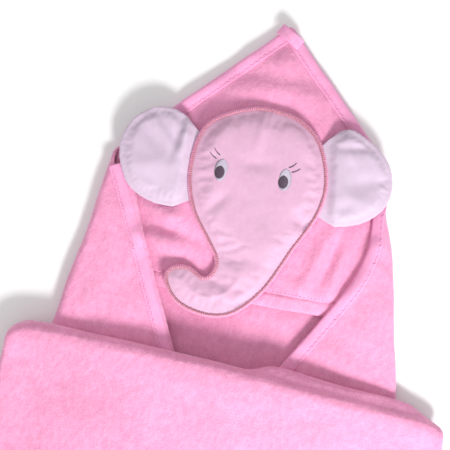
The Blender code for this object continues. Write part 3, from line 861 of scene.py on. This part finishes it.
def inflate(made, cap, floor, rim_share):
    """Swells a pad under pressure, held at its rim, and caps how far any point may go."""
    start = [v.co.copy() for v in made.data.vertices]
    held = made.vertex_groups.new(name="held")
    for v, share in zip(made.data.vertices, rim_share):
        held.add([v.index], share, "REPLACE")
    cloth = made.modifiers.new("Filling", "CLOTH")
    cloth.settings.use_pressure = True
    cloth.settings.uniform_pressure_force = SWELL_PRESSURE
    cloth.settings.effector_weights.gravity = 0
    cloth.settings.vertex_group_mass = "held"
    cloth.settings.quality = 4
    cloth.settings.tension_stiffness = cloth.settings.compression_stiffness = 8
    cloth.settings.shrink_min = -0.03
    cloth.point_cache.frame_start, cloth.point_cache.frame_end = 1, SWELL_STEPS
    for step in range(1, SWELL_STEPS + 1):
        bpy.context.scene.frame_set(step)
    apply_modifier(made, cloth)
    bpy.context.scene.frame_set(1)
    made.vertex_groups.clear()
    for v, before in zip(made.data.vertices, start):
        move = v.co - before
        if move.length > cap / METRE:
            v.co = before + move * (cap / METRE / move.length)
        v.co.z = max(v.co.z, floor / METRE)


def pad(name, outline, low, high, rim, reach, creases, finish_name, voxel=2.2, cap=2.4):
    """A thin padded shape: crowned from its seam, swollen by its filling, then creased. reach is how far the
    crown takes to rise from the seam; creases are (from, to, half-width, depth)."""
    made = blank(name, outline, low, low + (high - low) * 0.8, voxel)
    tree = nearest_rim(outline)
    shares = []
    for v in made.data.vertices:
        spot = v.co * METRE
        room = tree.find((spot.x, spot.y, 0))[2]
        crown = 1 - math.exp(-((room + 0.8) / reach) ** 1.3)
        share = min(max((spot.z - low) / ((high - low) * 0.8), 0), 1)
        v.co.z = (low + share * (rim + (high - low - rim) * crown) + (1 - crown) * 0.8 * (1 - share)) / METRE
        shares.append(1 - 0.97 * ease(2.0, 9.0, room) if share > 0.4 else 1.0)
    inflate(made, cap, low, shares)
    for v in made.data.vertices:
        spot = v.co * METRE
        if spot.z > (low + high) / 2:
            fall = -2.2 * ridge_height(creases, spot.x, spot.y)
            room = tree.find((spot.x, spot.y, 0))[2]
            rumple = 0.5 * waviness(spot.x, spot.y, 30, 11.0) + 0.25 * waviness(spot.x, spot.y, 12, 3.0)
            fall += rumple * ease(2, 12, room)
            v.co.z = max(spot.z - fall, low + 0.6) / METRE
    made.data.shade_smooth()
    made.data.materials.clear()
    made.data.materials.append(finish(finish_name))
    soften(made)
    return made


def surface_of(made):
    """A search tree of a finished pad's surface, in millimetres."""
    seen = made.evaluated_get(bpy.context.evaluated_depsgraph_get())
    mesh = seen.to_mesh()
    points = [v.co * METRE for v in mesh.vertices]
    tree = bvhtree.BVHTree.FromPolygons(points, [p.vertices[:] for p in mesh.polygons])
    seen.to_mesh_clear()
    return tree


def drop(tree, x, y, fallback):
    hit = tree.ray_cast(Vector((x, y, 200)), Vector((0, 0, -1)))[0]
    return hit.z if hit else fallback


def make_piping(outline, height):
    """The head's seam: a piped rim with thread looped over it all the way round."""
    smooth = resampled(outline + outline[:1], 3.0)[:-1]
    angles = (math.tau * k / 10 for k in range(10))
    section = [(PIPE_RADIUS * math.cos(a), height + PIPE_RADIUS * 1.25 * math.sin(a)) for a in angles]
    bm = sweep(smooth, section, closed=True)
    loops = bmesh.new()
    for i, (spot, along) in enumerate(spaced(smooth, LOOP_STEP, closed=True)):
        inward = turned(along)
        centre = spot + inward * LOOP_LENGTH * 0.18
        lean = inward + along * 0.22 * (1 if i % 2 else -0.4)
        wander = 0.25 * waviness(spot.x, spot.y, 3, 2.0)
        place = (*centre, height + PIPE_RADIUS * 1.15 + wander)
        stitch(loops, place, lean, LOOP_LENGTH + wander, LOOP_STEP * 0.42, rise=0.12)
    rim = publish("head_piping", bm, finish("tape"))
    thread = publish("head_piping_thread", loops, finish("edging"))
    for piece in (rim, thread):
        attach(piece, BODY)
    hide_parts("head_edge")


HEAD_CREASES = [
    ((-8, 214), (-10, 186), 5, 1.1), ((-46, 118), (-30, 138), 5, -1.1), ((-20, 168), (2, 170), 6, -0.7),
    ((44, 122), (34, 130), 5, -1.6), ((48, 116), (30, 112), 7, 0.8), ((-34, 66), (-6, 58), 6, -0.8),
    ((-22, 88), (14, 84), 7, -0.8), ((-40, 196), (-52, 170), 8, 0.7), ((20, 204), (38, 186), 8, 0.7),
    ((-24, 44), (6, 48), 6, -0.7), ((10, 112), (24, 96), 8, 0.8),
]
LEFT_CREASES = [
    ((-72, 204), (-76, 168), 4, 1.3), ((-104, 200), (-80, 176), 4, -1.1), ((-122, 190), (-92, 168), 6, -0.9),
    ((-118, 150), (-84, 156), 7, 0.7), ((-78, 130), (-96, 140), 5, -0.6), ((-80, 196), (-84, 160), 4, -0.9),
]
RIGHT_CREASES = [
    ((62, 208), (72, 188), 4, 1.2), ((58, 196), (84, 200), 4, -1.1), ((106, 176), (80, 168), 6, -0.8),
    ((100, 150), (72, 156), 6, 0.7), ((66, 140), (80, 150), 5, -0.6),
]


def make_head():
    outline = offset(plan_of("head_front"), 1.6)
    low, high = HEAD_LOW.z, HEAD_HIGH.z + 1.2
    head = pad("head_pad", outline, low, high, 2.6, 12, HEAD_CREASES, "face")
    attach(head, BODY)
    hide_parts("head_front", "head_back", "head_wadding")
    make_piping(outline, low + 2.0)


def joint_of(name):
    found = next(j for j in frame["joints"] if j["name"] == name)
    return Vector(found["pos_m"]) * METRE, Vector(found["axis"]).normalized()


def make_ear(side, creases):
    """One ear: padded, with a seam just inside its rim, and its inner margin caught under the head."""
    centre, axis = joint_of(side + "_ear_hinge")
    body = side + "_ear"
    outward = Vector((-axis.y, axis.x)).normalized()
    ear_nodes = [body + "_" + layer for layer in ("front", "back", "wadding")]
    outline = plan_of(body + "_front")
    if (middle_of(outline) - centre.xy).dot(outward) < 0:
        outward = -outward
    stretched = [p.copy() for p in outline]
    for point in stretched:
        if (point - centre.xy).dot(outward) < 0.8:
            point -= outward * EAR_CAUGHT + axis.xy * (point - centre.xy).dot(axis.xy) * 0.28
    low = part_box(ear_nodes[1])[0][2] * METRE
    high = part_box(ear_nodes[0])[1][2] * METRE + 0.6
    made = pad(body + "_pad", stretched, low, high, 1.8, 7, creases, "ear", 2.0, 1.6)
    tree = nearest_rim(stretched)
    for v in made.data.vertices:
        spot = v.co * METRE
        room = tree.find((spot.x, spot.y, 0))[2]
        if spot.z > (low + high) / 2:
            v.co.z -= 0.75 * bell(room - 4.2, 0.9) / METRE
        caught = 1 - ease(-4, 5, (spot.xy - centre.xy).dot(outward))
        v.co.z -= (v.co.z - low / METRE) * 0.78 * caught
    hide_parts(*ear_nodes)
    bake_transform(made)


def satin(name, node, head, across, step, radius, rise, finish_name):
    """Embroidery filling a small outline: threads laid side by side along a plan direction."""
    outline = plan_of(node)
    across = Vector(across).normalized()
    along = turned(across)
    centre = middle_of(outline)
    reach = [(p - centre).dot(along) for p in outline]
    bm = bmesh.new()
    rows = max(int((max(reach) - min(reach)) / step), 2)
    for i in range(rows):
        level = min(reach) + (max(reach) - min(reach)) * (i + 0.5) / rows
        cuts = []
        for k, point in enumerate(outline):
            a, b = (outline[k - 1] - centre), (point - centre)
            if (a.dot(along) - level) * (b.dot(along) - level) < 0:
                t = (level - a.dot(along)) / (b - a).dot(along)
                cuts.append((a + (b - a) * t).dot(across))
        if len(cuts) < 2:
            continue
        low, high = min(cuts), max(cuts)
        spot = centre + along * level + across * (low + high) / 2
        height = drop(head, *spot, HEAD_HIGH.z) + rise
        stitch(bm, (*spot, height), across, (high - low) * 1.12, radius)
    piece = publish(name, bm, finish(finish_name))
    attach(piece, BODY)
    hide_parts(node)


def make_eyes():
    head = surface_of(bpy.data.objects["head_pad"])
    for side, lean in (("left", -0.14), ("right", 0.12)):
        for part, node, step, radius, rise, colour_name in (
                ("_eye_satin", "_eye_white", 0.4, 0.5, 0.1, "white"),
                ("_pupil_satin", "_pupil", 0.35, 0.45, 0.6, "plum")):
            satin(
                side + part, side + node, head, (1, lean), step, radius, rise, colour_name)
        for which in ("inner", "outer"):
            node = f"{side}_lash_{which}"
            low, high = node_box(node)
            hand = 1 if side == "right" else -1
            start = Vector((low.x if hand > 0 else high.x, low.y + 0.6))
            end = Vector((high.x if hand > 0 else low.x, high.y - 0.4))
            bend = (start + end) / 2 + Vector((hand * 0.8, -0.9))
            bm = bmesh.new()
            for i in range(6):
                t = (i + 0.5) / 6
                spot = start * (1 - t) ** 2 + bend * 2 * t * (1 - t) + end * t ** 2
                way = (bend - start) * (1 - t) + (end - bend) * t
                height = drop(head, *spot, HEAD_HIGH.z) + 0.25
                stitch(bm, (*spot, height), way, 2.0, 0.5 - 0.2 * t)
            lash = publish(node + "_thread", bm, finish("plum"))
            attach(lash, BODY)
            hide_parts(node)


# ------------------------ the stage

def make_stage():
    s = bpy.context.scene.towel_stage
    bm = bmesh.new()
    bmesh.ops.create_grid(bm, x_segments=8, y_segments=8, size=s.floor * METRE / 2)
    bmesh.ops.translate(bm, vec=(0, 0, -0.3), verts=bm.verts)
    made, nodes, links, shader, where = nodes_of("Pale floor")
    cloud = noise_node(nodes, links, where, 3, 3)
    tone = ramp_node(nodes, links, cloud, [(0.2, (0.90, 0.90, 0.90)), (0.8, (0.95, 0.95, 0.95))])
    links.new(tone, shader.inputs["Base Color"])
    preset(shader, Roughness=0.7)
    publish("floor", bm, made, smooth=False)
    world = bpy.context.scene.world or bpy.data.worlds.new("World")
    bpy.context.scene.world = world
    world.use_nodes = True
    preset(world.node_tree.nodes["Background"], Color=(1.0, 0.985, 0.99, 1), Strength=s.sky)
    aim = Vector((-0.026, 0.09, 0.015))
    for name, place, size, power in (
            ("key", s.key_place, 0.4, s.key_power), ("fill", s.fill_place, 1.4, s.fill_power)):
        light = bpy.data.lights.new(name, "AREA")
        light.shape = "DISK"
        light.size = size
        light.energy = power
        lamp = placed(name, light)
        lamp.location = place
        lamp.rotation_euler = (aim - Vector(place)).to_track_quat("-Z", "Y").to_euler()
    view = bpy.data.cameras.new("camera")
    view.lens = s.lens
    camera = placed("camera", view)
    camera.location = (s.aim[0], s.aim[1], s.distance)
    camera.rotation_euler = (0, 0, s.turn)
    bpy.context.scene.camera = camera
    bpy.context.scene.view_settings.view_transform = "Standard"


# ------------------------ settings, operators and panel

def srgb(red, green, blue):
    """A screen colour, 0 to 255, as linear light."""
    out = []
    for channel in (red, green, blue):
        c = channel / 255
        out.append(c / 12.92 if c <= 0.04045 else ((c + 0.055) / 1.055) ** 2.4)
    return tuple(out)


def colour(name, text, value):
    return FloatVectorProperty(
        name=name, description=text, default=srgb(*value), size=3, subtype="COLOR", min=0, max=1)


class TowelCloth(bpy.types.PropertyGroup):
    cell: FloatProperty(
        name="Mesh cell", description="Size of the cloth's faces before it is rounded", default=0.006,
        min=0.003, max=0.02, unit="LENGTH")


class TowelColours(bpy.types.PropertyGroup):
    towelling: colour("Towelling", "Velour of the towel and hood", (239, 163, 199))
    tape: colour("Tape", "Binding tape", (244, 168, 208))
    face: colour("Face", "Plush of the face", (216, 174, 200))
    ear: colour("Ears", "Woven cotton of the ears", (208, 190, 209))
    edging: colour("Edging", "Overlock thread round the face", (212, 140, 158))
    sewing: colour("Sewing thread", "Thread of the tapes and the hem", (234, 154, 194))
    white: colour("Eye white", "Pale satin stitch", (190, 180, 198))
    plum: colour("Plum", "Dark satin stitch", (80, 58, 78))


class TowelStage(bpy.types.PropertyGroup):
    floor: FloatProperty(name="Floor", description="Side of the floor", default=4, min=1, unit="LENGTH")
    sky: FloatProperty(name="Sky", description="Strength of the even light", default=0.6, min=0)
    key_power: FloatProperty(name="Key", description="Power of the main light, in watts", default=23, min=0)
    key_place: FloatVectorProperty(
        name="Key place", description="Where the main light hangs", default=(0.52, -0.85, 0.82),
        size=3, subtype="XYZ", unit="LENGTH")
    fill_power: FloatProperty(name="Fill", description="Power of the soft light, in watts", default=3, min=0)
    fill_place: FloatVectorProperty(
        name="Fill place", description="Where the soft light hangs", default=(-0.7, 0.6, 1.5),
        size=3, subtype="XYZ", unit="LENGTH")
    lens: FloatProperty(
        name="Lens", description="Focal length, in millimetres", default=81.8, min=20, max=200)
    aim: FloatVectorProperty(
        name="Camera aim", description="The spot under the camera", default=(-0.026, 0.112),
        size=2, unit="LENGTH")
    distance: FloatProperty(
        name="Camera height", description="Height of the camera", default=0.915, min=0.3, unit="LENGTH")
    turn: FloatProperty(
        name="Camera turn", description="How far the camera is turned", default=math.radians(10.5),
        subtype="ANGLE", unit="ROTATION")


class TOWEL_OT_wrap(bpy.types.Operator):
    """Adds the back with its two side flaps folded in"""
    bl_idname = "towel.wrap"
    bl_label = "Wrap"
    bl_options = {"REGISTER", "UNDO"}

    def execute(self, context):
        make_wrap()
        return {"FINISHED"}


class TOWEL_OT_lower_fold(bpy.types.Operator):
    """Adds the lower half, folded up over the flaps"""
    bl_idname = "towel.lower_fold"
    bl_label = "Lower fold"
    bl_options = {"REGISTER", "UNDO"}

    def execute(self, context):
        make_lower_fold()
        return {"FINISHED"}


class TOWEL_OT_hood(bpy.types.Operator):
    """Adds the hood and the stitching of its hem"""
    bl_idname = "towel.hood"
    bl_label = "Hood"
    bl_options = {"REGISTER", "UNDO"}

    def execute(self, context):
        make_hood()
        return {"FINISHED"}


class TOWEL_OT_tapes(bpy.types.Operator):
    """Adds the binding of the hood's legs and of both flaps, and the loop at the tip"""
    bl_idname = "towel.tapes"
    bl_label = "Tapes"
    bl_options = {"REGISTER", "UNDO"}

    def execute(self, context):
        make_tapes()
        make_tail()
        return {"FINISHED"}


class TOWEL_OT_head(bpy.types.Operator):
    """Adds the padded head and its overlocked edge"""
    bl_idname = "towel.head"
    bl_label = "Head"
    bl_options = {"REGISTER", "UNDO"}

    def execute(self, context):
        make_head()
        return {"FINISHED"}


class TOWEL_OT_ears(bpy.types.Operator):
    """Adds the two padded ears, each caught under the head along its hinge"""
    bl_idname = "towel.ears"
    bl_label = "Ears"
    bl_options = {"REGISTER", "UNDO"}

    def execute(self, context):
        make_ear("left", LEFT_CREASES)
        make_ear("right", RIGHT_CREASES)
        return {"FINISHED"}


class TOWEL_OT_eyes(bpy.types.Operator):
    """Embroiders the eyes, pupils and lashes on the head"""
    bl_idname = "towel.eyes"
    bl_label = "Eyes"
    bl_options = {"REGISTER", "UNDO"}

    def execute(self, context):
        make_eyes()
        return {"FINISHED"}


class TOWEL_OT_stage(bpy.types.Operator):
    """Adds the floor, lights and camera"""
    bl_idname = "towel.stage"
    bl_label = "Stage"
    bl_options = {"REGISTER", "UNDO"}

    def execute(self, context):
        make_stage()
        return {"FINISHED"}


class TOWEL_PT_panel(bpy.types.Panel):
    """The towel's settings and makers"""
    bl_label = "Hooded towel"
    bl_idname = "TOWEL_PT_panel"
    bl_space_type = "VIEW_3D"
    bl_region_type = "UI"
    bl_category = "Towel"

    def draw(self, context):
        for kind in SETTINGS:
            box = self.layout.box()
            group = getattr(context.scene, kind)
            for name in type(group).__annotations__:
                box.prop(group, name)
        for maker in MAKERS:
            self.layout.operator(maker.bl_idname)


MAKERS = (
    TOWEL_OT_wrap, TOWEL_OT_lower_fold, TOWEL_OT_hood, TOWEL_OT_tapes, TOWEL_OT_head, TOWEL_OT_ears,
    TOWEL_OT_eyes, TOWEL_OT_stage)
SETTINGS = {"towel_cloth": TowelCloth, "towel_colours": TowelColours, "towel_stage": TowelStage}


def register():
    for kind in (*SETTINGS.values(), *MAKERS, TOWEL_PT_panel):
        bpy.utils.register_class(kind)
    for name, kind in SETTINGS.items():
        setattr(bpy.types.Scene, name, PointerProperty(type=kind))


def unregister():
    for name in SETTINGS:
        delattr(bpy.types.Scene, name)
    for kind in (TOWEL_PT_panel, *MAKERS, *SETTINGS.values()):
        bpy.utils.unregister_class(kind)


def main():
    register()
    for maker in MAKERS:
        getattr(bpy.ops.towel, maker.bl_idname.split(".")[1])()


if __name__ == "__main__":
    main()
